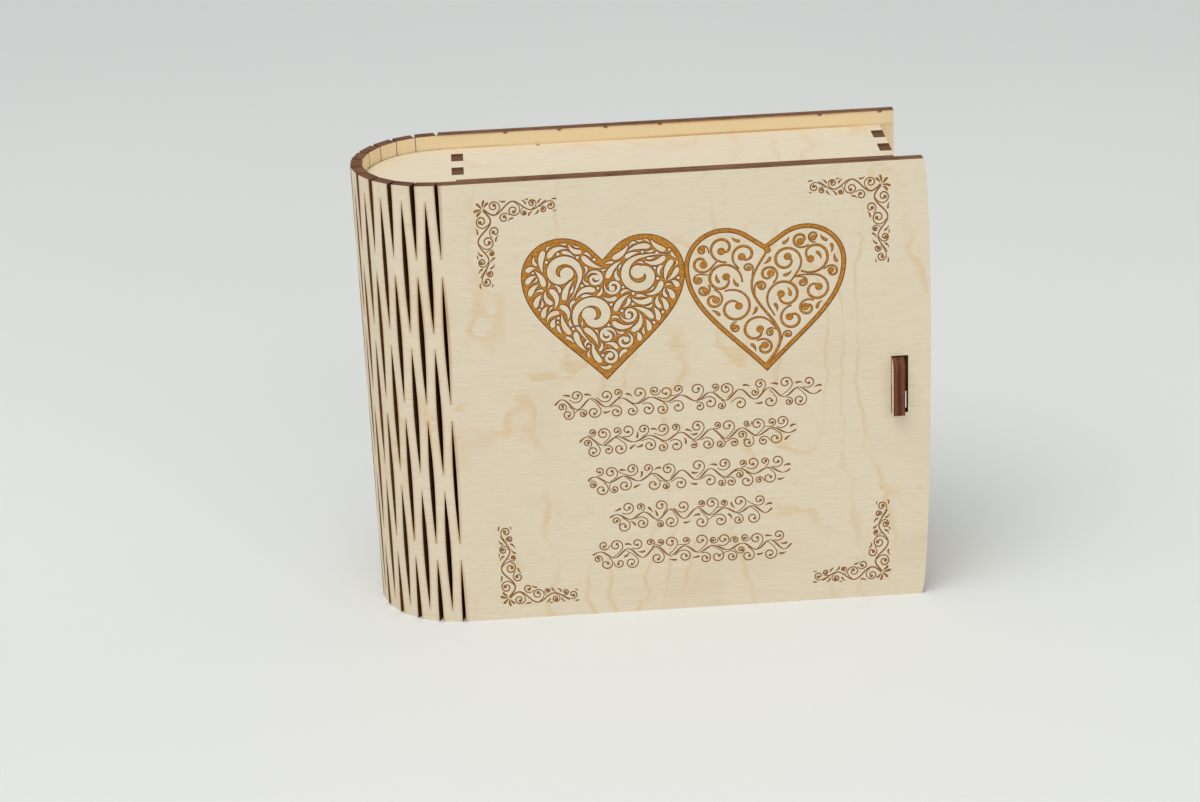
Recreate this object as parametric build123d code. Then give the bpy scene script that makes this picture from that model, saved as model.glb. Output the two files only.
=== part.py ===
from build123d import *
import math
import os

# A book-shaped gift box of laser-cut birch plywood, standing upright.
# Every shape is drawn from the line where the front cover meets the spine:
# X runs along the covers to the fore edge, Y from the front cover's face to
# the back, Z up from the bottom edge. The finished pieces are then moved so
# that the origin is the middle of the box, on the surface it stands on.

# The wrap is one sheet: front cover, bending spine, back cover.
ply = 4.0
cover_height = 160.0
cover_width = 160.0
fore_edge_bow = 3.0
back_edge_step = 1.5
box_depth = 58.0

# The spine bends at columns of slits. Columns that run out at the top and
# bottom edge part it into leaves, and each leaf has one column inside it.
leaf_count = 11
slit_length = 46.0
bridge_height = 6.1
slit_mouth = 1.7
slit_root = 0.3
slit_overrun = 0.2
pattern_drop = 0.75
leaf_gap = 0.05

# The tray stands on the back cover and keeps clear of the edges and spine.
tray_inset = 5.0
fore_recess = 6.4
spine_wall_offset = 5.0
tray_clearance = 0.3
spine_clearance = 0.4
shoulder_run = 2.0
round_end_angle = 85.0

# Square tabs of the two walls stand in both end panels.
tab_count = 3
tab_length = 7.8
tab_pitch = 14.7
tab_margin = 6.0
tab_clearance = 0.05

# A thin board lines the front cover.
liner_thickness = 2.0
liner_edge_inset = 0.2
liner_start = 6.5
liner_end = 151.0

# The latch slides up and down in the wall at the fore edge. Its hook goes
# through a slot in the front cover, and holds the cover when it is down.
slot_height = 21.0
slot_width = 5.8
latch_side_clearance = 0.2
latch_end_clearance = 0.5
latch_travel = 9.5
hook_reach = 4.1
hook_cover_clearance = 0.35
slider_height = 30.0
slider_depth = 18.0
mouth_depth = 6.0
window_clearance = 0.25
glue_line = 0.1
grip_overlap = 4.0
grip_height = 24.0
grip_rounding = 3.0

# What follows from the sizes above
back_cover_width = cover_width - back_edge_step
spine_radius = box_depth / 2
leaf_angle = 180.0 / leaf_count
leaf_width = 2 * spine_radius * math.sin(math.radians(leaf_angle / 2))
back_inside = box_depth - ply
liner_inside = ply + liner_thickness
tray_front = liner_inside + tray_clearance
tray_end = cover_width - fore_recess
tray_round = (
    spine_radius * math.cos(math.radians(leaf_angle / 2)) - ply - spine_clearance
)
panel_low = tray_inset
panel_high = cover_height - tray_inset - ply
wall_low = panel_low + ply
wall_high = panel_high
fore_wall_inside = tray_end - ply
slit_period = slit_length + bridge_height
pattern_middle = cover_height / 2 - pattern_drop
slit_rows = max(1, int((cover_height + bridge_height) // slit_period))

slot_low = (cover_height - slot_height) / 2
slot_high = slot_low + slot_height
slot_left = fore_wall_inside - latch_side_clearance
slot_right = slot_left + slot_width
nose_low = slot_low + latch_end_clearance
nose_high = slot_high - latch_end_clearance
neck_low = nose_low + latch_travel
neck_high = nose_high
neck_middle = (neck_low + neck_high) / 2
slider_front = tray_front + mouth_depth
slider_back = slider_front + slider_depth
slider_low = neck_middle - slider_height / 2
slider_high = neck_middle + slider_height / 2


def box_between(low, high):
    """A block from its lowest corner to its highest."""
    size = [high[i] - low[i] for i in range(3)]
    middle = [(high[i] + low[i]) / 2 for i in range(3)]
    return Pos(*middle) * Box(*size)


def facing(point, angle):
    """The upright plane at a point of the wrap that looks out at an angle."""
    turn = math.radians(angle)
    return Plane(
        origin=(point[0], point[1], 0),
        x_dir=(-math.sin(turn), math.cos(turn), 0),
        z_dir=(math.cos(turn), math.sin(turn), 0),
    )


def fold_point(number):
    """Outer edge of fold line 0 (front cover) to leaf_count (back cover)."""
    turn = math.radians(-90 + number * leaf_angle)
    return (
        -spine_radius * math.cos(turn),
        spine_radius + spine_radius * math.sin(turn),
    )


def fold_bend(number):
    """How far the sheet turns at a fold line when the box is shut."""
    if number in (0, leaf_count):
        return leaf_angle / 2
    return leaf_angle


def fold_direction(number):
    """The way a fold line looks: between the two parts that meet there."""
    if number == 0:
        return -90 - leaf_angle / 4
    if number == leaf_count:
        return 90 + leaf_angle / 4
    return 270 - number * leaf_angle


def lens(width):
    """A pointed slit outline, widest at its middle."""
    right = ThreePointArc((0, -slit_length / 2), (width / 2, 0), (0, slit_length / 2))
    left = ThreePointArc((0, slit_length / 2), (-width / 2, 0), (0, -slit_length / 2))
    return make_face([right, left])


def slit(point, angle, height):
    """A slit that is open outside and nearly closed inside, as a cutter."""
    spread = (slit_mouth - slit_root) / ply * slit_overrun
    outside = facing(point, angle) * Pos(0, height, slit_overrun)
    inside = facing(point, angle) * Pos(0, height, -ply - slit_overrun)
    return loft(
        [outside * lens(slit_mouth + spread), inside * lens(slit_root - spread)],
        ruled=True,
    )


def slit_heights(count):
    """Middles of a column's slits, evenly spaced about the pattern's middle."""
    return [
        pattern_middle + (row - (count - 1) / 2) * slit_period for row in range(count)
    ]


def fold_slits(number):
    """The slits along a fold line; the end ones run out at the sheet's edges."""
    heights = slit_heights(slit_rows + 1)
    return [slit(fold_point(number), fold_direction(number), z) for z in heights]


def sheet_section(length, left_bend, right_bend):
    """Section of one flat part: outside along y = 0, ends mitred by the bends."""
    left_lean = ply * math.tan(math.radians(left_bend / 2))
    right_lean = ply * math.tan(math.radians(right_bend / 2))
    left = leaf_gap / 2
    right = length - leaf_gap / 2 if right_bend else length
    corners = [
        (left, 0),
        (right, 0),
        (right - right_lean, ply),
        (left + left_lean, ply),
    ]
    return make_face(Polyline(*corners, close=True))


def spine_leaf(number):
    """One flat leaf of the spine, between fold lines number - 1 and number."""
    start = fold_point(number)
    end = fold_point(number - 1)
    angle = math.degrees(math.atan2(end[1] - start[1], end[0] - start[0]))
    section = sheet_section(leaf_width, fold_bend(number), fold_bend(number - 1))
    leaf = Pos(*start) * Rot(0, 0, angle) * extrude(section, cover_height)
    middle = ((start[0] + end[0]) / 2, (start[1] + end[1]) / 2)
    for height in slit_heights(slit_rows):
        leaf -= slit(middle, angle - 90, height)
    for cutter in fold_slits(number) + fold_slits(number - 1):
        leaf -= cutter
    return leaf


def front_cover():
    """Front cover, bowed along its fore edge, with the latch slot."""
    edge = EllipticalCenterArc(
        (cover_width, cover_height / 2),
        fore_edge_bow,
        cover_height / 2,
        start_angle=-90,
        arc_size=180,
    )
    bottom = Line((0, 0), (cover_width, 0))
    top = Line((cover_width, cover_height), (0, cover_height))
    hinge = Line((0, cover_height), (0, 0))
    outline = facing((0, 0), -90) * make_face([bottom, edge, top, hinge])
    section = sheet_section(cover_width + 2 * fore_edge_bow, fold_bend(0), 0)
    cover = extrude(outline, -ply) & extrude(section, cover_height)
    for cutter in fold_slits(0):
        cover -= cutter
    return cover - box_between(
        (slot_left, -ply, slot_low), (slot_right, 2 * ply, slot_high)
    )


def back_cover():
    """Back cover, straight along its fore edge."""
    section = sheet_section(back_cover_width, fold_bend(leaf_count), 0)
    cover = extrude(mirror(section, Plane.XZ), cover_height)
    cover = Pos(0, box_depth, 0) * cover
    for cutter in fold_slits(leaf_count):
        cover -= cutter
    return cover


def front_liner():
    """Thin board on the inside of the front cover, notched for the hook."""
    board = box_between(
        (liner_start, ply, liner_edge_inset),
        (liner_end, liner_inside, cover_height - liner_edge_inset),
    )
    return board - box_between((slot_left, 0, slot_low), (slot_right, box_depth, slot_high))


def tab_starts():
    """Front edges of the tabs, set out from the back cover."""
    last = back_inside - tab_margin - tab_length
    return [last - number * tab_pitch for number in range(tab_count)]


def tabs(left, right, low, high, clearance=0):
    """The square tabs of a wall, or with a clearance the holes for them."""
    return [
        box_between(
            (left, start - clearance, low), (right, start + tab_length + clearance, high)
        )
        for start in tab_starts()
    ]


def tray_panel(low):
    """End panel of the tray, round where it follows the spine."""
    middle = (0, spine_radius)
    front_angle = math.degrees(math.asin((spine_radius - tray_front) / tray_round))
    sweep = round_end_angle + front_angle
    curve = CenterArc(middle, tray_round, 180 - round_end_angle, sweep)
    corners = [
        curve @ 1,
        (tray_end, tray_front),
        (tray_end, back_inside),
        (shoulder_run, back_inside),
        curve @ 0,
    ]
    panel = Pos(0, 0, low) * extrude(make_face([curve, Polyline(*corners)]), ply)
    high = low + ply
    holes = tabs(
        spine_wall_offset - tab_clearance,
        spine_wall_offset + ply + tab_clearance,
        low - ply,
        high + ply,
        tab_clearance,
    )
    notches = tabs(
        fore_wall_inside - tab_clearance, tray_end + ply, low - ply, high + ply, tab_clearance
    )
    for cutter in holes + notches:
        panel -= cutter
    return panel


def tray_wall(left):
    """Upright wall between the end panels, with its tabs."""
    right = left + ply
    wall = box_between((left, tray_front, wall_low), (right, back_inside, wall_high))
    low_tabs = tabs(left, right, panel_low, wall_low)
    high_tabs = tabs(left, right, wall_high, panel_high + ply)
    for tab in low_tabs + high_tabs:
        wall += tab
    return wall


def fore_edge_wall():
    """The wall at the fore edge, with the window that the latch slides in."""
    left = fore_wall_inside - ply
    right = tray_end + ply
    low_play = latch_travel + window_clearance
    window = box_between(
        (left, slider_front - window_clearance, slider_low - low_play),
        (right, slider_back + window_clearance, slider_high + window_clearance),
    )
    mouth = box_between(
        (left, 0, neck_low - low_play),
        (right, slider_front, neck_high + window_clearance),
    )
    return tray_wall(fore_wall_inside) - window - mouth


def latch_hook():
    """Sliding plate of the latch with the hook, drawn raised."""
    front = -hook_reach
    throat = -hook_cover_clearance
    rounding = hook_reach
    nose = ThreePointArc(
        (front, neck_high - rounding),
        (
            front + rounding * (1 - math.sqrt(0.5)),
            neck_high - rounding * (1 - math.sqrt(0.5)),
        ),
        (front + rounding, neck_high),
    )
    corners = [
        nose @ 1,
        (slider_front, neck_high),
        (slider_front, slider_high),
        (slider_back, slider_high),
        (slider_back, slider_low),
        (slider_front, slider_low),
        (slider_front, neck_low),
        (throat, neck_low),
        (throat, nose_low),
        (front, nose_low),
        nose @ 0,
    ]
    side = facing((fore_wall_inside, 0), 0)
    return extrude(side * make_face([nose, Polyline(*corners)]), ply)


def latch_plate(left):
    """A rounded plate glued on the slider that laps over the window's sides."""
    width = slider_depth + 2 * grip_overlap
    middle_depth = (slider_front + slider_back) / 2
    outline = RectangleRounded(width, grip_height, grip_rounding)
    side = facing((left, 0), 0) * Pos(middle_depth, neck_middle)
    return extrude(side * outline, ply)


pieces = {
    "front_cover": front_cover(),
    "back_cover": back_cover(),
    "front_liner": front_liner(),
    "tray_bottom": tray_panel(panel_low),
    "tray_top": tray_panel(panel_high),
    "spine_wall": tray_wall(spine_wall_offset),
    "fore_edge_wall": fore_edge_wall(),
    "latch_hook": latch_hook(),
    "latch_inner_plate": latch_plate(fore_wall_inside - glue_line - ply),
    "latch_thumb_plate": latch_plate(tray_end + glue_line),
}
for number in range(1, leaf_count + 1):
    pieces[f"spine_leaf_{number:02d}"] = spine_leaf(number)

# The origin goes to the middle of the box on the surface it stands on.
left_end = min(fold_point(number)[0] for number in range(leaf_count + 1))
right_end = cover_width + fore_edge_bow
front_end = -hook_reach
to_origin = Pos(-(left_end + right_end) / 2, -(front_end + box_depth) / 2, 0)

os.makedirs("parts", exist_ok=True)
for name, piece in pieces.items():
    export_step(to_origin * piece, f"parts/{name}.step")
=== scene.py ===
import math

import bpy
import numpy as np
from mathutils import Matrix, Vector
from mathutils.geometry import delaunay_2d_cdt


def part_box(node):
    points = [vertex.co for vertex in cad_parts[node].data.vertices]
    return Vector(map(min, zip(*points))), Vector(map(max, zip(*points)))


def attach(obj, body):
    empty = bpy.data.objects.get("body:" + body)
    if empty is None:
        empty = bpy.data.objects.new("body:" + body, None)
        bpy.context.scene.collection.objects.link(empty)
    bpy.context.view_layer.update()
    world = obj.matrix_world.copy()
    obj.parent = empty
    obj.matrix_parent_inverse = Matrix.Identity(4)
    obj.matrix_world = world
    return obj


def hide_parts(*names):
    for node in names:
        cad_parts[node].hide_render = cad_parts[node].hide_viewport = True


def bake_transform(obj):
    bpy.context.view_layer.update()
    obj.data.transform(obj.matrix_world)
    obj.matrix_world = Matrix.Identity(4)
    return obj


# Looks for the wooden gift box. Lengths below are in millimetres, measured as
# the box was drawn: x along the covers from the line where the front cover
# meets the spine, y back from the front cover's face, z up from the bottom.

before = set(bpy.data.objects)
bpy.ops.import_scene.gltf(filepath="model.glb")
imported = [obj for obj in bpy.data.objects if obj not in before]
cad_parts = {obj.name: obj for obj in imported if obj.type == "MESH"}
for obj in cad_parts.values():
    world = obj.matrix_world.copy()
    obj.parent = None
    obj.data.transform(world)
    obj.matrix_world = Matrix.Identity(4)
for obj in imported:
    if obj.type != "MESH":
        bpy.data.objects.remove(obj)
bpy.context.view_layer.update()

MM = 0.001
PLY = 4.0
COVER = 160.0
BOW = 3.0
DEPTH = 58.0
FOLDS = 11
LEAF_GAP = 0.05
SLIT_LENGTH = 46.0
SLIT_PERIOD = 52.1
SLIT_MIDDLE = 79.25
SLIT_MOUTH = 1.7
SLIT_LAP = 0.15
SLOT = (149.4, 155.2, 69.5, 90.5)
PANEL_TOP = 155.0
TAB_START = 25.95
TAB_PITCH = 14.65
CUT_DEPTH = 0.2

cover_low, cover_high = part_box("front_cover")
HINGE_X = cover_low.x / MM - LEAF_GAP / 2
FACE_Y = cover_low.y / MM
STEP = 180.0 / FOLDS
RADIUS = DEPTH / 2
LEAF_WIDTH = 2 * RADIUS * math.sin(math.radians(STEP / 2))
# How far the covers' edges at the spine lean back through the sheet
LEAN = PLY * math.tan(math.radians(STEP / 4))


def place(points):
    """Points of the drawing, in millimetres, as places in the frame, in metres."""
    return (np.asarray(points, float) + [HINGE_X, FACE_Y, 0.0]) * MM


# ---------------------------------------------------------------------------
# Materials
# ---------------------------------------------------------------------------
def linear(red, green, blue):
    """A colour as it looks on screen, 0 to 255, in the renderer's own measure."""
    def one(c):
        c = c / 255
        return c / 12.92 if c <= 0.04045 else ((c + 0.055) / 1.055) ** 2.4
    return (one(red), one(green), one(blue), 1.0)


class Socket:
    """A shader output that takes part in sums, so that maths reads as maths."""

    def __init__(self, shader, output):
        self.shader = shader
        self.output = output

    def math(self, operation, *others):
        return self.shader.node("Math", {"operation": operation}, [self, *others])

    def __add__(self, other):
        return self.math("ADD", other)

    def __mul__(self, other):
        return self.math("MULTIPLY", other)

    def __sub__(self, other):
        return self.math("SUBTRACT", other)

    def __rsub__(self, other):
        return self.shader.node("Math", {"operation": "SUBTRACT"}, [other, self])

    def __truediv__(self, other):
        return self.math("DIVIDE", other)

    def __pow__(self, other):
        return self.math("POWER", other)

    def __abs__(self):
        return self.math("ABSOLUTE")

    __radd__ = __add__
    __rmul__ = __mul__


class Shader:
    """One material's nodes."""

    def __init__(self, name):
        self.material = bpy.data.materials.new(name)
        self.material.use_nodes = True
        self.tree = self.material.node_tree
        self.main = self.tree.nodes["Principled BSDF"]
        self.coordinate = self.tree.nodes.new("ShaderNodeTexCoord")

    def node(self, kind, settings=None, inputs=(), output=0):
        """Any node: its settings first, then its sockets' values or links."""
        made = self.tree.nodes.new("ShaderNode" + kind)
        for key, value in (settings or {}).items():
            setattr(made, key, value)
        pairs = inputs.items() if isinstance(inputs, dict) else enumerate(inputs)
        for key, value in pairs:
            self.feed(made.inputs[key], value)
        return Socket(self, made.outputs[output])

    def feed(self, socket, value):
        if isinstance(value, Socket):
            self.tree.links.new(value.output, socket)
        else:
            socket.default_value = value

    def object_point(self):
        return Socket(self, self.coordinate.outputs["Object"])

    def normal(self):
        return Socket(self, self.coordinate.outputs["Normal"])

    def parts(self, vector):
        made = self.tree.nodes.new("ShaderNodeSeparateXYZ")
        self.feed(made.inputs[0], vector)
        return [Socket(self, out) for out in made.outputs]

    def vector(self, x, y, z):
        return self.node("CombineXYZ", {}, [x, y, z])

    def noise(self, vector, scale, detail=2.0, rough=0.5):
        sockets = {"Vector": vector, "Scale": scale, "Detail": detail, "Roughness": rough}
        return self.node("TexNoise", {}, sockets)

    def step(self, value, low, high, to_low=0.0, to_high=1.0):
        """A soft step: to_low below low, to_high above high."""
        ends = {"From Min": low, "From Max": high, "To Min": to_low, "To Max": to_high}
        return self.node("MapRange", {"interpolation_type": "SMOOTHSTEP"}, {"Value": value, **ends})

    def blend(self, amount, first, second):
        """A colour between two: the first where amount is 0, the second where it is 1."""
        return self.node("Mix", {"data_type": "RGBA"}, {0: amount, 6: first, 7: second}, 2)

    def put(self, name, value):
        self.feed(self.main.inputs[name], value)


PALE = linear(225, 210, 182)
PALER = linear(231, 219, 196)
HONEY = linear(208, 180, 132)
FIGURE = linear(222, 186, 130)
FLECK = linear(196, 172, 136)
# Brown of the scorch beside the slits, also used as painted shade along seams
HALO = linear(190, 140, 80)
INNER = linear(240, 215, 166)
# Burnt edges: plain, paler and darker places
EDGE = (linear(110, 70, 42), linear(136, 92, 60), linear(70, 40, 20))
SPINE_EDGE = (linear(98, 58, 32), linear(124, 80, 48), linear(52, 26, 10))
WALL_EDGE = (linear(98, 60, 34), linear(116, 78, 50), linear(76, 40, 16))
LATCH_EDGE = (linear(94, 44, 17), linear(124, 66, 32), linear(42, 23, 19))
# Near-black char, painted shade: for the edges in the slot and in the fold line's slits, and for
# the spine's right-hand slit walls
SHADED_CHAR = linear(34, 18, 10)
# Painted light: paler orange of the spine's far-left slit walls, as if lit from the left
LIT_SLIT_WALL = linear(152, 96, 44)
# Painted shadow in the mortises over the tray walls' tabs
MORTISE_SHADE = linear(78, 36, 10)
LINE = linear(150, 96, 28)
AMBER = linear(182, 118, 26)
AMBER_DEEP = linear(146, 82, 10)
AMBER_PALE = linear(200, 142, 48)
RIM = linear(118, 64, 8)

# How fast the fibres and the growth rings change, per millimetre, by the way of the grain
FIBRE_PACE = {
    "level": (0.06, 0.06, 1.5),
    "x": (0.06, 1.5, 1.5),
    "z": (1.5, 1.5, 0.06),
}
RING_PACE = {
    "level": (0.027, 0.027, 0.006),
    "x": (0.022, 0.014, 0.014),
    "z": (0.012, 0.012, 0.024),
}


def slit_halo(s, across, u_share, z):
    """Faint scorch beside the slits of one column: 1 at a slit's edge, fading out 0.9 mm away.

    A slit's half width falls with the square of the height from its middle. Columns with a u_share
    of 0 and of 0.5 are half a period apart in height.
    """
    shifted = (z - (SLIT_MIDDLE + u_share * SLIT_PERIOD)) / SLIT_PERIOD + 20.5
    height = abs(shifted.math("FRACT") - 0.5) * SLIT_PERIOD
    share = height / (SLIT_LENGTH / 2)
    edge = across - (1 - share * share) * (SLIT_MOUTH / 2)
    return s.step(edge, 0.0, 0.9, 1.0, 0.0) * s.step(share, 1.0, 1.03, 1.0, 0.0)


def spine_halo(s, x, y, z):
    """Scorch beside all slits of the spine: those on fold lines, and those in a leaf's middle."""
    turn = s.node("Math", {"operation": "ARCTAN2"}, [0 - x, RADIUS - y]) / math.radians(STEP)
    fold_away = abs((turn + 20.5).math("FRACT") - 0.5) * LEAF_WIDTH
    middle_away = abs((turn + 20.0).math("FRACT") - 0.5) * LEAF_WIDTH
    return slit_halo(s, fold_away, 0.5, z).math("MAXIMUM", slit_halo(s, middle_away, 0.0, z))


def grained_face(s, at, grain, seed):
    """Pale birch with streaks along its fibres, soft clouds, growth rings and short dark flecks.

    Fibres are noise that changes slowly along the grain. A growth ring is a thin line where a slow
    field passes a round number, feathered along the fibres.
    """
    sx, sy, sz = at["x"] + seed * 37.0, at["y"] + seed * 11.0, at["z"] + seed * 23.0
    a, b, c = FIBRE_PACE[grain]
    along = s.vector(sx * a, sy * b, sz * c)
    fibre = s.noise(along, 1.0, 4.0, 0.6)
    fleck = s.noise(along, 3.1, 2.0, 0.5)
    cloud = s.noise(s.vector(sx * 0.02, sy * 0.02, sz * 0.03), 1.0, 3.0, 0.55)
    a, b, c = RING_PACE[grain]
    wobble = s.noise(s.vector(sx * 0.05, sy * 0.05, sz * 0.08), 1.0, 2.0, 0.5)
    slow = s.noise(s.vector(sx * a, sy * b, sz * c), 1.0, 0.6, 0.3)
    wave = ((slow + fibre * 0.035 + wobble * 0.12) * 9.0).math("FRACT")
    ring = s.step(wave, 0.0, 0.05, 1.0, 0.0) + s.step(wave, 0.78, 1.0)
    patch = s.noise(s.vector(sx * 0.03, sy * 0.03, sz * 0.03), 1.0, 1.0, 0.5)
    ring_there = s.step(patch, 0.36, 0.62) * s.step(fibre, 0.4, 0.62, 0.35, 1.0)
    colour = s.blend(s.step(fibre, 0.34, 0.68) * 0.8, PALE, PALER)
    colour = s.blend(s.step(cloud, 0.48, 0.8) * 0.22, colour, HONEY)
    colour = s.blend(ring * ring_there * 0.75, colour, FIGURE)
    colour = s.blend(s.step(fleck, 0.58, 0.72) * 0.5, colour, FLECK)
    return colour, fibre, fleck, cloud


def burnt_edge(s, at, fibre, fleck, edge, layers):
    """A cut edge: scorched brown, streaked paler and darker, with the bands of the plies."""
    plain, pale, dark = edge
    char = s.blend(s.step(fibre, 0.3, 0.7), plain, pale)
    char = s.blend(s.step(fleck, 0.45, 0.7) * 0.6, char, dark)
    if layers:
        axis, low, high = layers
        share = abs((at[axis] - low) / (high - low) - 0.5)
        core = s.step(share, 0.06, 0.16, 1.0, 0.0)
        between = s.step(share, 0.17, 0.24) * s.step(share, 0.34, 0.44, 1.0, 0.0)
        char = s.blend(core * 0.55, char, dark)
        char = s.blend(between * 0.4, char, pale)
    return char


def lasered(s, colour, fibre):
    """Laser marks, by the faces' attribute: 1 engraved, 1.3 thin lines, 2 darker rims, 3 near-black
    char painted as shade.
    """
    burnt = s.node("Attribute", {"attribute_name": "burnt"}, output=2)
    amber = s.blend(s.step(fibre, 0.35, 0.65), AMBER, AMBER_PALE)
    mottle = s.noise(s.object_point(), 900.0, 3.0, 0.6)
    amber = s.blend(s.step(mottle, 0.42, 0.66) * 0.6, amber, AMBER_DEEP)
    amber = s.blend(s.step(burnt, 1.1, 1.2) * 0.75, amber, LINE)
    amber = s.blend(s.step(burnt, 1.5, 1.7) * 0.85, amber, RIM)
    # Level 3: near-black char, painted shade
    amber = s.blend(s.step(burnt, 2.4, 2.6), amber, SHADED_CHAR)
    return s.blend(s.step(burnt, 0.4, 0.6), colour, amber)


def birch(
    name,
    grain="level",
    faces="y",
    tone=0.0,
    layers=None,
    seed=0.0,
    slits=None,
    edge=EDGE,
    marks=(),
    seam_shade=(),
    shaded_mortises=False,
):
    """Birch plywood: pale grained faces, cut edges burnt brown, engraved places amber.

    grain: the way of its fibres, "level" (any level direction), "x" or "z".
    faces: how the sheet looks out, "x", "y", "z" or "round" (away from the spine's middle line),
    or "all" where no cut edge shows.
    tone: above 0 a paler sheet, below 0 a browner one.
    layers: an axis and the two faces' places along it, for the bands of the plies on cut edges.
    slits: "round" or "flat", for the scorch beside the slits of the spine or of a cover's edge.
    edge: the three colours of its burnt edges. marks: small dark spots, (x, y, z, length, height).
    stains: patchy brown along a seam, painted contact shadow, as the axis across it, its place
    there and the reach of the brown.
    sunk: painted shadow on the tab ends that stand in mortises, darker towards the far side.
    """
    s = Shader(name)
    px, py, pz = s.parts(s.object_point())
    x, y, z = px / MM - HINGE_X, py / MM - FACE_Y, pz / MM
    at = {"x": x, "y": y, "z": z}
    colour, fibre, fleck, cloud = grained_face(s, at, grain, seed)
    if tone:
        colour = s.blend(abs(tone), colour, PALER if tone > 0 else HONEY)
    # Cut edges are where the surface doesn't look the way that the sheet faces.
    nx, ny, nz = s.parts(s.normal())
    from_y = y - RADIUS
    if faces == "round":
        outward = (x * nx + from_y * ny) / (x * x + from_y * from_y) ** 0.5
        out = abs(outward)
    else:
        out = 1.0 if faces == "all" else abs({"x": nx, "y": ny, "z": nz}[faces])
    cut = s.step(out, 0.55, 0.8, 1.0, 0.0)
    char = burnt_edge(s, at, fibre, fleck, edge, layers)
    if shaded_mortises:
        # Painted shadow in the mortises: the tab ends' tops go dark red-brown towards the far side,
        # where the mortise wall shades them.
        past = ((y - TAB_START) / TAB_PITCH).math("FRACT") * TAB_PITCH
        char = s.blend(s.step(past, 3.4, 5.4) * s.step(nz, 0.5, 0.8) * 0.95, char, MORTISE_SHADE)
    if slits:
        if slits == "round":
            halo = spine_halo(s, x, y, z)
            # Painted light and shade on the slit walls: those of the right-hand folds (x towards 0)
            # darkened to near-black char as painted shade, those of the far-left folds paler orange
            # as painted light from the left.
            wall = s.step(abs(nz), 0.3, 0.6, 1.0, 0.0)
            char = s.blend(wall * s.step(x, -26.0, -15.0) * 0.55, char, SHADED_CHAR)
            char = s.blend(wall * s.step(x, -28.0, -19.0, 1.0, 0.0) * 0.55, char, LIT_SLIT_WALL)
        else:
            halo = slit_halo(s, abs(x), 0.5, z)
            outward = ny * from_y / RADIUS
        outside = s.step(outward, 0.2, 0.5)
        patchy = s.step(cloud, 0.35, 0.65, 0.35, 1.0) * outside
        colour = s.blend(halo * patchy * 0.8, colour, HALO)
        colour = s.blend((1 - outside) * 0.75, colour, INNER)
    # Patchy brown along seams: painted contact shadow where two parts meet
    for axis, seam, reach in seam_shade:
        there = s.step(abs(at[axis] - seam), 0.0, reach, 1.0, 0.0)
        there = there * (1 - outside) if slits else there
        colour = s.blend(there * s.step(cloud, 0.42, 0.6, 0.25, 0.8), colour, HALO)
    for at_x, at_y, at_z, length, tall in marks:
        reach = ((x - at_x) / length) ** 2 + ((y - at_y) / length) ** 2 + ((z - at_z) / tall) ** 2
        colour = s.blend(s.step(reach, 0.2, 1.0, 0.8, 0.0), colour, edge[2])
    s.put("Base Color", lasered(s, s.blend(cut, colour, char), fibre))
    s.put("Roughness", 0.64 - fibre * 0.14 + cut * 0.1)
    s.put("Specular IOR Level", 0.35)
    height = fibre + fleck * 0.6
    s.put("Normal", s.node("Bump", {}, {"Strength": 0.4, "Distance": 0.00006, "Height": height}))
    return s.material


# ---------------------------------------------------------------------------
# Engraving: curls, leaves and dots in the plane of the cover, in millimetres
# ---------------------------------------------------------------------------
def ribbon(path, width):
    """Outline of a band: half its width to each side of a centre line."""
    along = np.gradient(path, axis=0)
    along /= np.linalg.norm(along, axis=1)[:, None]
    across = np.stack([along[:, 1], -along[:, 0]], 1) * (np.asarray(width) / 2)[:, None]
    return np.concatenate([path + across, (path - across)[::-1]])


def disc(centre, radius, count=12):
    """Outline of a round dot."""
    turn = np.linspace(0, 2 * np.pi, count, endpoint=False)
    return np.asarray(centre) + radius * np.stack([np.cos(turn), np.sin(turn)], 1)


# Widths and heights of the two hearts, and how deep their notches are
FULL_HEART = (54.6, 51.5, 8.3)
OPEN_HEART = (54.2, 52.1, 6.6)
# Places along a leaf, from its round end to its point
LEAF = np.linspace(0, 1, 12) ** 1.45


def heart(width, height, notch, inset=0.0, count=48):
    """A heart below the level of its tops: a line up from its notch, a lobe, a side to its tip.

    The lobe is a circle that the line touches, and the side is a curve with four control points.
    inset moves the whole outline inwards.
    """
    half = width / 2
    lobe = half * 0.5
    middle = np.array([half - lobe, -lobe])
    to_notch = np.array([0, -notch]) - middle
    start = math.atan2(to_notch[1], to_notch[0]) - math.acos(lobe / np.linalg.norm(to_notch))
    turn = np.linspace(start, 0, count)
    arc = middle + lobe * np.stack([np.cos(turn), np.sin(turn)], 1)
    arc = np.concatenate([[(0, -notch)], arc])
    pulls = [(half, -lobe), (half, -0.545 * height), (0.5 * half, -0.715 * height), (0, -height)]
    a, b, c, d = np.array(pulls)
    t = np.linspace(0, 1, count)[1:, None]
    side = (1 - t) ** 3 * a + 3 * (1 - t) ** 2 * t * b + 3 * (1 - t) * t**2 * c + t**3 * d
    right = np.concatenate([arc, side])
    if inset:
        along = np.gradient(right, axis=0)
        along /= np.linalg.norm(along, axis=1)[:, None]
        right = right + np.stack([along[:, 1], -along[:, 0]], 1) * inset
        right = right[right[:, 0] > 0.02]
        last, first = right[-1] - right[-2], right[1] - right[0]
        foot = right[-1] - last * right[-1][0] / last[0]
        head = right[0] - first * right[0][0] / first[0]
        right = np.concatenate([[head], right, [foot]])
    left = right[1:-1][::-1] * [-1, 1]
    return np.concatenate([right, left])[::-1]


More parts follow.
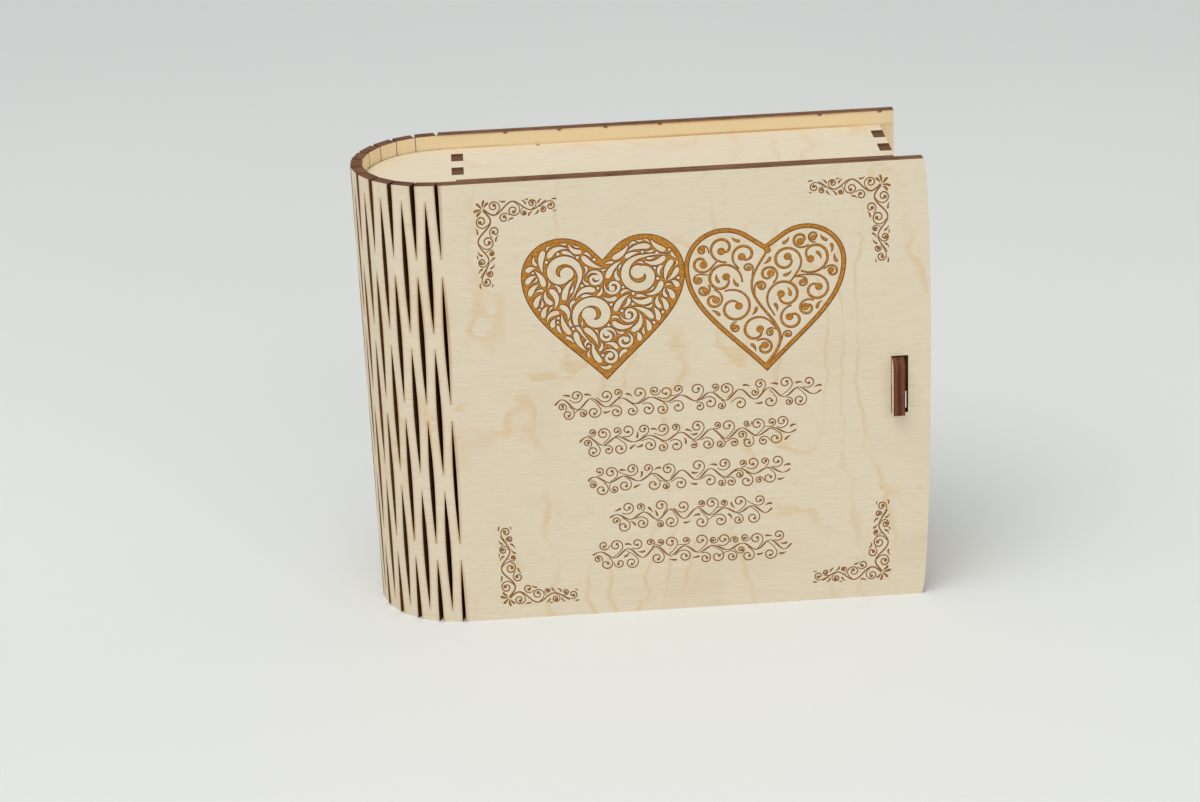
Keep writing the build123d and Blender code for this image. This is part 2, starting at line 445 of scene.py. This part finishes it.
def inside(points, ring):
    """Which points lie within a closed outline: those that it winds round."""
    a, b = ring, np.roll(ring, -1, 0)
    px, pz = points[:, :1], points[:, 1:]
    left = (b[:, 0] - a[:, 0]) * (pz - a[:, 1]) - (px - a[:, 0]) * (b[:, 1] - a[:, 1])
    up = (a[:, 1] <= pz) & (b[:, 1] > pz) & (left > 0)
    down = (a[:, 1] > pz) & (b[:, 1] <= pz) & (left < 0)
    return (up.sum(1) - down.sum(1)) != 0


class Scrollwork:
    """Fills an outline with curls that spring from each other, then leaves and dots.

    free holds, at each point of a fine grid, the distance to the nearest line so far.
    """

    def __init__(self, ring, seed, pitch=0.22):
        self.random = np.random.default_rng(seed)
        self.pitch = pitch
        self.low = ring.min(0)
        size = np.ceil((ring.max(0) - self.low) / pitch).astype(int) + 1
        x, z = np.meshgrid(np.arange(size[0]), np.arange(size[1]), indexing="ij")
        self.shape = x.shape
        self.grid = self.low + pitch * np.stack([x.ravel(), z.ravel()], 1)
        keep = np.concatenate([inside(part, ring) for part in np.array_split(self.grid, 40)])
        self.free = np.where(keep, 99.0, -1.0)
        self.lines = np.zeros((0, 4))
        self.bands, self.dots = [], []
        closed = np.concatenate([ring, ring[:1]])
        cuts = np.linspace(0, 1, 5)[:-1, None, None]
        self.near((closed[:-1] * (1 - cuts) + closed[1:] * cuts).reshape(-1, 2), 0.0)

    def near(self, points, half):
        """Notes new lines in the grid of free distances, in the part of it that they can reach."""
        half = np.broadcast_to(half, len(points))
        reach = 9.0
        low, high = points.min(0) - reach, points.max(0) + reach
        by = np.flatnonzero((self.free > 0) & (self.grid > low).all(1) & (self.grid < high).all(1))
        place_x, place_z = self.grid[by, 0], self.grid[by, 1]
        best = self.free[by]
        for (x, z), h in zip(points, half):
            best = np.minimum(best, np.hypot(place_x - x, place_z - z) - h)
        self.free[by] = best

    def room(self, points):
        """Free distance at any points, taken from the nearest grid place."""
        spot = np.rint((points - self.low) / self.pitch).astype(int)
        fits = ((spot >= 0) & (spot < self.shape)).all(1)
        spot = np.clip(spot, 0, np.array(self.shape) - 1)
        return np.where(fits, self.free[spot[:, 0] * self.shape[1] + spot[:, 1]], -1)

    def band(self, path, width, ball=0.0, stem=True):
        """A band along a path, perhaps with a ball at its end. Curls may spring from a stem."""
        self.bands.append((path, width))
        if ball:
            self.dots.append((path[-1], ball))
            self.near(path[-1:], ball)
        self.near(path, width / 2)
        if stem:
            along = np.gradient(path, axis=0)
            along /= np.linalg.norm(along, axis=1)[:, None]
            self.lines = np.concatenate([self.lines, np.concatenate([path, along], 1)])

    def curl(
        self, centre, radius, wide, turns, spring=None, hand=None, lead=0.12, gap=0.0, ball=0.95
    ):
        """A spiral: its radius falls with the angle, from its circle to a quarter of it.

        It leads in from outside its circle, so that it springs from the line that it grows on.
        """
        if spring is None:
            away = np.linalg.norm(self.lines[:, :2] - centre, axis=1)
            root = self.lines[away.argmin()]
            start = math.atan2(root[1] - centre[1], root[0] - centre[0])
            hand = 1 if -math.sin(start) * root[2] + math.cos(start) * root[3] > 0 else -1
        else:
            start = math.radians(spring)
        s = np.linspace(-lead, 1, int(np.clip(12 + 5 * radius, 14, 40)))
        angle = start + hand * s * turns * 2 * math.pi
        rise = gap + 1.5 * radius * (1 - math.cos(lead * turns * 2 * math.pi))
        out = np.clip(-s / max(lead, 0.01), 0, 1) ** 2 * rise
        away = out + radius * (1 - 0.75 * np.clip(s, 0, 1) ** 0.85)
        path = np.asarray(centre) + away[:, None] * np.stack([np.cos(angle), np.sin(angle)], 1)
        width = wide * (0.5 + 0.5 * np.sin(np.pi * np.clip(s * 0.8 + 0.12, 0, 1)))
        if lead and gap:
            # The part before the line that it grows on is dropped.
            early = np.flatnonzero(s <= 0)
            away = np.linalg.norm(self.lines[:, None, :2] - path[early], axis=2).min(0)
            path, width = path[away.argmin():], width[away.argmin():]
        elif lead:
            width = width * np.clip(0.06 + (s + lead) / 0.3, 0, 1)
        else:
            width = width * np.clip(0.15 + s * 5, 0, 1)
        self.band(path, width, wide * ball)

    def fill_curls(self, largest, smallest, wide, gap, count, join=True, turns=1.1, ball=0.95):
        """Puts a curl in the largest empty circle again and again."""
        for _ in range(count):
            spare = np.minimum(self.free, largest)
            order = np.flatnonzero(spare > spare.max() - 0.02)
            best = order[self.random.integers(len(order))]
            centre, radius = self.grid[best], spare[best]
            if radius < smallest:
                return
            wound = turns + 0.35 * self.random.random()
            wide_here = min(wide, 0.30 * radius)
            if join:
                self.curl(centre, radius - gap, wide_here, wound, gap=gap, ball=ball)
            else:
                self.curl(centre, radius - gap, wide_here, wound, lead=0.0, ball=ball)

    def fan(self, ring, first, last, count, length, wide, lean, off=1.7):
        """Bent leaves side by side along a stretch of the outline, the middle ones longest."""
        closed = np.concatenate([ring, ring[:1]])
        run = np.concatenate([[0], np.cumsum(np.linalg.norm(np.diff(closed, axis=0), axis=1))])
        s = LEAF
        shape = np.sin(np.pi * s**0.6) ** 0.8
        for k in range(count):
            share = k / (count - 1)
            along = first + (last - first) * share
            at = np.array([np.interp(along, run, closed[:, i]) for i in (0, 1)])
            ahead = np.array([np.interp(along + 0.5, run, closed[:, i]) for i in (0, 1)])
            inward = math.atan2(ahead[1] - at[1], ahead[0] - at[0]) + math.pi / 2
            long = length * (0.62 + 0.38 * math.sin(math.pi * share))
            way = inward + math.radians(lean) * (1.25 - 1.15 * s)
            steps = np.stack([np.cos(way), np.sin(way)], 1) * np.diff(s, prepend=0)[:, None]
            path = np.cumsum(steps, 0) * long
            path += at + off * np.array([math.cos(inward), math.sin(inward)])
            self.band(path, wide * shape + 0.05, stem=False)

    def fill_leaves(self, longest, shortest, wide, gap, count, slim=0.27, bend=70):
        """Puts a bent drop, as long as it fits, at the emptiest place again and again."""
        s = LEAF
        shape = np.sin(np.pi * s**0.5) ** 0.85
        heading, turn = np.meshgrid(np.arange(0, 360, 15), np.array([-1, -0.5, 0.5, 1]) * bend)
        way = np.radians(heading.ravel()[:, None] + turn.ravel()[:, None] * (s - 0.35))
        steps = np.stack([np.cos(way), np.sin(way)], 2) * np.diff(s, prepend=0)[:, None]
        unit = np.cumsum(steps, 1)
        unit -= unit[:, 6:7]
        blocked = np.zeros(len(self.grid), bool)
        for _ in range(count):
            free = np.where(blocked, -1, self.free)
            best = free.argmax()
            centre, spare = self.grid[best], free[best]
            if spare < gap + 0.2:
                return
            for length in np.linspace(longest, shortest, 9):
                paths = centre + unit * length
                width = min(wide, slim * length) * shape + 0.05
                room = self.room(paths.reshape(-1, 2)).reshape(len(paths), -1)
                slack = (room - width / 2 - gap).min(1)
                if slack.max() > 0:
                    self.band(paths[slack.argmax()], width, stem=False)
                    break
            else:
                radius = min(spare - gap, 0.55)
                if radius > 0.2:
                    self.dots.append((centre, radius))
                    self.near(centre[None], radius)
                else:
                    blocked |= np.linalg.norm(self.grid - centre, axis=1) < 0.5

    def outlines(self, move=(0, 0), turn=None, grow=0.0):
        """Closed outlines of all bands and dots, moved into place."""
        turn = np.eye(2) if turn is None else np.asarray(turn, float)
        out = [ribbon(path, width + 2 * grow) @ turn.T + move for path, width in self.bands]
        out += [disc(centre, radius + grow) @ turn.T + move for centre, radius in self.dots]
        return out


def full_heart():
    """The heart that is cut away round its scrolls: bold curls, two fans, leaves between them."""
    ring = heart(*FULL_HEART)
    work = Scrollwork(heart(*FULL_HEART, 1.2), 3)
    work.curl((-13.6, -12.4), 6.3, 2.9, 1.05, spring=335, hand=1, lead=0.16, ball=0.8)
    work.curl((12.6, -14.6), 6.6, 3.0, 1.1, spring=95, hand=1, lead=0.15, ball=0.8)
    work.curl((-3.6, -28.0), 6.9, 3.1, 1.15, spring=215, hand=-1, lead=0.14, ball=0.8)
    work.fan(ring, 98, 122, 6, 5.4, 1.7, -55)
    work.fan(ring, 30, 54, 6, 5.4, 1.7, 55)
    work.fill_curls(3.6, 2.6, 1.4, 0.5, 6, join=False)
    work.fill_leaves(8.0, 2.2, 1.9, 0.42, 110, slim=0.28, bend=100)
    return work


def open_heart():
    """Thin vines on bare wood, all springing from one wavy stem, with round ends."""
    work = Scrollwork(heart(*OPEN_HEART, 1.6), 11)
    s = np.linspace(0, 1, 60)
    stem = np.stack([5.4 * np.sin(s * 6.6) * (1 - 0.3 * s) - 0.4, -49.6 + 41.0 * s], 1)
    work.band(stem, 1.1 - 0.3 * s, 1.2)
    work.fill_curls(7.2, 2.2, 1.0, 0.42, 60, turns=0.95, ball=1.35)
    work.fill_leaves(3.6, 2.0, 1.2, 0.45, 16, slim=0.33)
    return work


def corner_arm():
    """One arm of the corner flourish: a thin wavy stem with curls, inside a strip that narrows."""
    ring = [(3.4, -0.4), (7, 0.6), (13, 0.2), (20, 0), (27.2, -0.2), (27.2, -4.6), (20, -6)]
    ring = np.array(ring + [(14, -6.2), (11.5, -8.2), (8.9, -8.9), (4.2, -4.2)])
    work = Scrollwork(ring[::-1], 7, pitch=0.15)
    s = np.linspace(0, 1, 60)
    x = 3.0 + 20.8 * s
    stem = np.stack([x, -3.0 + 0.9 * s - (2.3 - 0.9 * s) * np.cos((x - 6.6) / 1.95)], 1)
    stem[:, 1] -= 0.5 * (1 - s) ** 8
    work.band(stem, 0.58 - 0.18 * s)
    work.fill_curls(2.9, 1.25, 0.46, 0.26, 9, turns=1.05, ball=1.35)
    work.fill_leaves(2.4, 1.3, 0.58, 0.26, 9, slim=0.3)
    s = np.linspace(0, 1, 9)
    for heading, length in ((135, 2.7), (107, 2.8), (78, 2.3)):
        way = np.radians(heading - 22 * s * (heading < 130))
        path = [3.1, -3.2] + np.stack([np.cos(way), np.sin(way)], 1) * (0.75 + s * length)[:, None]
        work.bands.append((path, 0.78 * np.sin(np.pi * (1 - s) ** 0.6) ** 0.8 + 0.05))
    return work


def vine_row(left, right, height, seed):
    """A long level flourish: a wavy stem with curls and leaves on both sides, in a strip."""
    ends = np.radians(np.linspace(90, 270, 9))
    cap = np.stack([np.cos(ends), np.sin(ends)], 1) * 3.6
    ring = np.concatenate([cap + [left + 3.6, height], -cap + [right - 3.6, height]])
    work = Scrollwork(ring, seed, pitch=0.2)
    s = np.linspace(0, 1, 160)
    waves = round((right - left) / 10.5)
    swing = 1.5 + 0.5 * np.sin(s * 9 + seed)
    along = left + 2 + (right - left - 4) * s
    stem = np.stack([along, height + swing * np.sin(s * waves * 2 * np.pi)], 1)
    work.band(stem, 0.28 + 0.36 * np.abs(np.cos(s * waves * 2 * np.pi)) ** 1.5)
    work.fill_curls(2.9, 1.75, 0.46, 0.3, 30, ball=1.15)
    work.fill_leaves(2.8, 1.8, 0.7, 0.3, 9, slim=0.3)
    return work


# Rows of vine: left end, right end, height
ROWS = (
    (33, 127.5, 79.7),
    (40.8, 118.8, 65.6),
    (43, 116.5, 51.0),
    (50, 110, 36.6),
    (43.5, 116.5, 22.6),
)
# Corner flourishes: the corner, and the ways that its arms run, along and up
CORNERS = (
    ((11.8, 154.0), 1, 1),
    ((149.0, 155.0), -1, 1),
    ((13.0, 5.2), 1, -1),
    ((149.0, 6.4), -1, -1),
)


def engraving_shapes():
    """Everything that the laser marks on the front cover, as pairs of a kind and an outline.

    ground is lowered, raised stays up within it, core leaves the dark rim out, rim is dark beside
    what is raised, and cut, cut_core and line are thin lines.
    """
    first, second = np.array([53.2, 139.5]), np.array([107.3, 139.8])
    out = [("ground", heart(*FULL_HEART) + first), ("ground", heart(*OPEN_HEART) + second)]
    out += [("raised", heart(*OPEN_HEART, 1.7) + second)]
    scrolls = full_heart()
    out += [("raised", ring) for ring in scrolls.outlines(first)]
    out += [("rim", ring) for ring in scrolls.outlines(first, grow=0.3)]
    out += [("rim", heart(*OPEN_HEART, 1.4) + second)]
    out += [("core", heart(*FULL_HEART, 0.35) + first), ("core", heart(*OPEN_HEART, 0.3) + second)]
    vine = open_heart()
    out += [("cut", ring) for ring in vine.outlines(second)]
    out += [("cut_core", ring) for ring in vine.outlines(second, grow=-0.13)]
    lines = []
    arm = corner_arm()
    for spot, x, z in CORNERS:
        lines += [(arm, spot, np.diag([x, z])), (arm, spot, np.array([[0, -x], [-1.13 * z, 0]]))]
    lines += [(vine_row(*row, 20 + i), (0, 0), None) for i, row in enumerate(ROWS)]
    for work, spot, turn in lines:
        out += [("line", ring) for ring in work.outlines(spot, turn)]
    return out


# ---------------------------------------------------------------------------
# Meshes
# ---------------------------------------------------------------------------
def make_piece(name, points, faces, material, burnt=None):
    """A mesh object at the origin from places in metres and a list of faces.

    burnt says how each face is burnt, and where its char is painted near-black as shade, as the
    material reads it.
    """
    mesh = bpy.data.meshes.new(name)
    mesh.from_pydata(np.asarray(points).tolist(), [], [list(map(int, f)) for f in faces])
    if burnt is not None:
        values = mesh.attributes.new("burnt", "FLOAT", "FACE").data
        values.foreach_set("value", np.asarray(burnt, np.float32))
    mesh.materials.append(material)
    mesh.validate()
    piece = bpy.data.objects.new(name, mesh)
    bpy.context.scene.collection.objects.link(piece)
    return piece


def filled(rings):
    """Fills a plane with triangles whose sides follow the closed outlines: points and triangles."""
    coords = [Vector((float(a), float(b))) for ring in rings for a, b in ring]
    sides, start = [], 0
    for ring in rings:
        n = len(ring)
        sides += [(start + i, start + (i + 1) % n) for i in range(n)]
        start += n
    points, _, triangles, *_ = delaunay_2d_cdt(coords, sides, [], 0, 1e-4, False)
    return np.array([(p.x, p.y) for p in points]), np.array(triangles)


def within(points, rings):
    """Which points lie in any of the outlines."""
    found = np.zeros(len(points), bool)
    for ring in rings:
        near = (points > ring.min(0)).all(1) & (points < ring.max(0)).all(1) & ~found
        near = np.flatnonzero(near)
        if len(near):
            found[near] = inside(points[near], ring)
    return found


def slit_middles(count):
    """Heights of the middles of a column's slits, or of its bridges where count is odd."""
    return SLIT_MIDDLE + (np.arange(count) - (count - 1) / 2) * SLIT_PERIOD


def slit_share(height):
    """How wide a slit on a fold line stands open at a height: 1 at its middle, 0 at its tips."""
    away = np.abs(np.asarray(height)[:, None] - slit_middles(4)).min(1)
    return np.clip(1 - (away / (SLIT_LENGTH / 2)) ** 2, 0, None)


def cover_outline(inner_face):
    """The front cover's outline, from the bottom of the fold line round to its top and down.

    The fore edge is half an ellipse, and the fold line's slits cut lens shapes from the left edge.
    """
    turn = np.radians(np.linspace(-90, 90, 49))
    fore = np.stack([COVER + BOW * np.cos(turn), COVER / 2 * (1 + np.sin(turn))], 1)
    heights = slit_middles(4)[:, None] + np.linspace(-0.5, 0.5, 25) * SLIT_LENGTH
    heights = np.unique(heights.ravel().round(4))
    heights = heights[(heights > 0.01) & (heights < COVER - 0.01)]
    heights = np.concatenate([[0], heights, [COVER]])[::-1]
    share = slit_share(heights)
    if inner_face:
        left = LEAN + LEAF_GAP / 2 - SLIT_LAP * share
    else:
        left = np.maximum(LEAF_GAP / 2, SLIT_MOUTH / 4 * share)
    return np.concatenate([fore, np.stack([left, heights], 1)]).round(3)


def burn_levels(middles, engraving):
    """How each triangle of the cover is burnt, by the outlines round its middle: 0 is bare."""
    lies = {
        kind: within(middles, [ring for k, ring in engraving if k == kind])
        for kind in ("ground", "core", "raised", "rim", "cut", "cut_core", "line")
    }
    level = np.where(lies["rim"] | ~lies["core"], 2, 1) * (lies["ground"] & ~lies["raised"])
    level = np.where(lies["cut"], np.where(lies["cut_core"], 1, 2), level)
    return np.where(lies["line"], 1.3, level)


def level_walls(triangles, lowered, count):
    """Walls wherever a lowered triangle shares a side with one that isn't lowered.

    count is how many points there are, and the lowered copy of point k is point k + count.
    """
    sides = np.concatenate([triangles[:, [0, 1]], triangles[:, [1, 2]], triangles[:, [2, 0]]])
    of = np.tile(np.arange(len(triangles)), 3)
    key = sides[:, 0].astype(np.int64) * count + sides[:, 1]
    back_key = sides[:, 1].astype(np.int64) * count + sides[:, 0]
    order = np.argsort(key)
    spot = np.clip(np.searchsorted(key[order], back_key), 0, len(key) - 1)
    found = key[order][spot] == back_key
    other = np.where(found, of[order][spot], -1)
    wall = lowered[of] & (other >= 0) & ~lowered[other]
    a, b = sides[wall, 0], sides[wall, 1]
    return np.stack([b + count, a + count, a, b], 1)


def cover_sheet(engraving, material):
    """The engraved front cover: a flat sheet whose engraved places lie CUT_DEPTH lower.

    Both faces are filled outlines, and every edge between two levels gets a wall.
    """
    left, right, low, high = SLOT
    slot = np.array([(left, low), (right, low), (right, high), (left, high)])
    outer, inner = cover_outline(False), cover_outline(True)
    points, triangles = filled([outer, slot] + [ring for _, ring in engraving])
    middles = points[triangles].mean(1)
    triangles = triangles[within(middles, [outer]) & ~within(middles, [slot])]
    level = burn_levels(points[triangles].mean(1), engraving)
    lowered = level > 0
    count = len(points)
    flat = np.stack([points[:, 0], np.zeros(count), points[:, 1]], 1)
    deep = flat + [0, CUT_DEPTH, 0]
    walls = level_walls(triangles, lowered, count)
    faces = [tuple(t + count * s) for t, s in zip(triangles, lowered)] + [tuple(w) for w in walls]
    burnt = np.concatenate([level, np.full(len(walls), 2)]).tolist()
    # Inner face of the sheet
    back_points, back_triangles = filled([inner, slot])
    middles = back_points[back_triangles].mean(1)
    back_triangles = back_triangles[within(middles, [inner]) & ~within(middles, [slot])]
    start = 2 * count
    back = np.stack([back_points[:, 0], np.full(len(back_points), PLY), back_points[:, 1]], 1)
    faces += [tuple(t[::-1] + start) for t in back_triangles]
    burnt += [0] * len(back_triangles)
    start += len(back_points)
    # Edges of the sheet: those in the slot and in the fold line's slits get near-black char,
    # painted shade
    rims = []
    for front_ring, back_ring, in_slot in ((outer, inner, False), (slot, slot, True)):
        n = len(front_ring)
        rims += [np.insert(front_ring, 1, 0.0, 1), np.insert(back_ring, 1, PLY, 1)]
        i = np.arange(n)
        j = (i + 1) % n
        quads = np.stack([j, i, i + n, j + n], 1) + start
        faces += [tuple(q[::-1] if in_slot else q) for q in quads]
        x, z = ((front_ring + np.roll(front_ring, -1, 0)) / 2).T
        in_shade = in_slot | ((x < 1) & (z > 0.01) & (z < COVER - 0.01))
        burnt += (3 * in_shade).tolist()
        start += 2 * n
    everything = np.concatenate([flat, deep, back, *rims])
    rounded, index = np.unique(everything.round(4), axis=0, return_inverse=True)
    index = index.ravel()
    faces = [[index[k] for k in f] for f in faces]
    piece = make_piece("engraved_cover", place(rounded), faces, material, burnt)
    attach(piece, "front_cover")
    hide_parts("front_cover")


def fold_place(number):
    """Where fold line 0 (front cover) to FOLDS (back cover) stands, and the way that it looks."""
    turn = math.radians(-90 - number * STEP)
    x = RADIUS * math.cos(turn)
    y = RADIUS + RADIUS * math.sin(turn)
    if number == 0:
        look = -90 - STEP / 4
    elif number == FOLDS:
        look = 90 + STEP / 4
    else:
        look = -90 - number * STEP
    return np.array([x, y]), math.radians(look)


def fold_bridge(number, material):
    """The uncut wood between the slits of a fold line: three small blocks, each bent across the
    fold line.

    A block's outline runs across the fold and through the sheet, whose faces lean back from the
    fold line on both sides, and is carried straight up its height.
    """
    spot, look = fold_place(number)
    out = np.array([math.cos(look), math.sin(look)])
    side = np.array([-out[1], out[0]])
    bend = math.radians(STEP / 4 if number in (0, FOLDS) else STEP / 2)
    across = np.array([-0.7, -0.35, 0.0, 0.35, 0.7])
    depth = np.array([-0.012, 2.0, PLY - 0.02])
    rows = []
    for d in depth:
        back = np.abs(across) * math.sin(bend) + d / math.cos(bend)
        rows.append(spot + np.outer(across * math.cos(bend), side) - np.outer(back, out))
    ring = np.concatenate([rows[0], rows[1][-1:], rows[2][::-1], rows[1][:1]])
    n = len(ring)
    reach = (SLIT_PERIOD - SLIT_LENGTH) / 2 - 0.1
    points, faces = [], []
    for middle in slit_middles(3):
        start = len(points) * n
        for z in (middle - reach, middle + reach):
            points.append(np.insert(ring, 2, z, 1))
        i = np.arange(n)
        j = (i + 1) % n
        faces += [tuple(q) for q in (np.stack([i, j, j + n, i + n], 1) + start)]
        faces += [tuple((i[::-1] + start).tolist()), tuple((i + n + start).tolist())]
    piece = make_piece(f"fold_bridge_{number:02d}", place(np.concatenate(points)), faces, material)
    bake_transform(piece)


def back_cover_lip(material):
    """A thin lip along the hinge edge of the back cover, that closes its slits at their inner side.

    A square section, 0.5 mm thick, carried up each slit with its front edge bulging into the slit.
    """
    count = 17
    front, back, root = DEPTH - PLY + 0.01, DEPTH - PLY + 0.5, LEAN + 0.3
    points, faces = [], []
    for middle in slit_middles(4):
        low, high = max(0.02, middle - SLIT_LENGTH / 2), min(COVER - 0.02, middle + SLIT_LENGTH / 2)
        heights = np.linspace(low, high, count)
        bulge = LEAN + LEAF_GAP / 2 - SLIT_LAP * slit_share(heights)
        straight = np.full(count, root)
        corners = [(bulge, front), (bulge, back), (straight, back), (straight, front)]
        rows = [np.stack([x, np.full(count, y), heights], 1) for x, y in corners]
        start = 4 * count * len(points)
        i, j = np.meshgrid(np.arange(count - 1) * 4, np.arange(4), indexing="ij")
        k = (j + 1) % 4
        quads = np.stack([i + j, i + j + 4, i + k + 4, i + k], 2).reshape(-1, 4) + start
        faces += [tuple(q) for q in quads]
        faces += [tuple(start + np.arange(4)), tuple(start + 4 * (count - 1) + np.arange(4)[::-1])]
        points.append(np.stack(rows, 1).reshape(-1, 3))
    piece = make_piece("back_cover_lip", place(np.concatenate(points)), faces, material)
    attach(piece, "tray")


# ---------------------------------------------------------------------------
# The box
# ---------------------------------------------------------------------------
def dress(node, material):
    """Gives a solid of the model a material in place of its plain one."""
    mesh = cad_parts[node].data
    mesh.materials.clear()
    mesh.materials.append(material)


knot = (44.0, 0.0, 108.1, 1.8, 0.5)
cover_wood = birch("birch_cover", layers=("y", 0.0, PLY), slits="flat", marks=(knot,))
cover_sheet(engraving_shapes(), cover_wood)
bent = birch("birch_spine", faces="round", slits="round", edge=SPINE_EDGE)
for leaf in range(1, FOLDS + 1):
    dress(f"spine_leaf_{leaf:02d}", bent)
bridging = birch("birch_bridges", faces="all")
for fold in range(FOLDS + 1):
    fold_bridge(fold, bridging)
notches = tuple((x, DEPTH - PLY, COVER, 1.1, 0.9) for x in (24.0, 42.6, 58.6, 77.4, 132.8, 153.7))
back_wood = birch(
    "birch_back_cover",
    layers=("y", DEPTH - PLY, DEPTH),
    slits="flat",
    seed=1.0,
    marks=notches,
    # Painted shade along the seam with the tray's top panel, and brown along the top edge
    seam_shade=(("z", PANEL_TOP, 1.0), ("z", COVER, 0.9)),
)
dress("back_cover", back_wood)
back_cover_lip(back_wood)
dress("front_liner", birch("birch_liner", tone=-0.1, seed=2.0))
panel = birch(
    "birch_tray_panel",
    grain="x",
    faces="z",
    # Painted paler: painted light for the brightly lit top of the tray
    tone=0.2,
    seed=3.0,
    marks=((35.0, 53.0, PANEL_TOP, 0.9, 0.6),),
    # Painted contact shadow along the seam with the back cover
    seam_shade=(("y", DEPTH - PLY, 0.7),),
)
dress("tray_top", panel)
dress("tray_bottom", panel)
# The tray walls' tab ends get painted shadow in their mortises.
wall_wood = birch("birch_tray_wall", grain="z", faces="x", seed=4.0, edge=WALL_EDGE, shaded_mortises=True)
dress("spine_wall", wall_wood)
dress("fore_edge_wall", wall_wood)
latch_wood = birch(
    "birch_latch",
    grain="z",
    faces="x",
    layers=("x", 149.6, 153.6),
    tone=0.5,
    seed=5.0,
    edge=LATCH_EDGE,
)
for node in ("latch_hook", "latch_inner_plate", "latch_thumb_plate"):
    dress(node, latch_wood)


# ---------------------------------------------------------------------------
# Floor, light and camera
# ---------------------------------------------------------------------------
def studio_floor():
    """A level floor that rises behind in a quarter circle to an upright backdrop."""
    turn = np.radians(np.linspace(0, 90, 13))
    run = np.concatenate([[-3.0], 1.6 + 0.8 * np.sin(turn), [2.4]])
    rise = np.concatenate([[0.0], 0.8 * (1 - np.cos(turn)), [3.0]])
    n = len(run)
    points = np.stack([np.repeat([-4.0, 4.0], n), np.tile(run, 2), np.tile(rise, 2)], 1)
    faces = [(i, i + n, i + n + 1, i + 1) for i in range(n - 1)]
    s = Shader("studio_paper")
    away = s.parts(s.object_point())[1]
    soft = s.noise(s.object_point(), 2.2, 2.0, 0.5)
    colour = s.blend(s.step(soft, 0.3, 0.7), linear(226, 228, 225), linear(230, 231, 228))
    colour = s.blend(s.step(away, 0.0, 0.9) * 0.4, colour, linear(208, 211, 211))
    s.put("Base Color", colour)
    s.put("Roughness", 0.9)
    s.put("Specular IOR Level", 0.1)
    floor = make_piece("studio_floor", points, faces, s.material)
    for polygon in floor.data.polygons:
        polygon.use_smooth = True


def lamp(name, place_at, look_at, size, power, colour):
    """A soft round lamp at a place, turned to look at another."""
    data = bpy.data.lights.new(name, "AREA")
    data.shape = "DISK"
    data.size = size
    data.energy = power
    data.color = colour
    made = bpy.data.objects.new(name, data)
    bpy.context.scene.collection.objects.link(made)
    made.location = place_at
    made.rotation_euler = (Vector(look_at) - Vector(place_at)).to_track_quat("-Z", "Y").to_euler()


studio_floor()
lamp("key", (-0.7, -0.9, 2.5), (0.0, 0.1, 0.0), 2.0, 34.0, (1.0, 0.985, 0.965))
lamp("fill", (0.9, -1.6, 0.9), (0.0, 0.0, 0.08), 1.4, 5.0, (0.97, 0.985, 1.0))
world = bpy.data.worlds.new("studio_air")
bpy.context.scene.world = world
world.use_nodes = True
world.node_tree.nodes["Background"].inputs["Color"].default_value = (0.93, 0.95, 0.96, 1)
world.node_tree.nodes["Background"].inputs["Strength"].default_value = 0.62

camera_data = bpy.data.cameras.new("camera")
camera_data.lens = 85.96725
camera_data.sensor_width = 36.0
camera_data.clip_start = 0.01
camera_data.clip_end = 50.0
camera = bpy.data.objects.new("camera", camera_data)
bpy.context.scene.collection.objects.link(camera)
camera.location = (-0.05295015, -0.91754716, 0.46007778)
camera.rotation_euler = [math.radians(a) for a in (66.908397, 2.320543, -3.312633)]
bpy.context.scene.camera = camera
bpy.context.scene.view_settings.view_transform = "Standard"

bpy.context.view_layer.update()
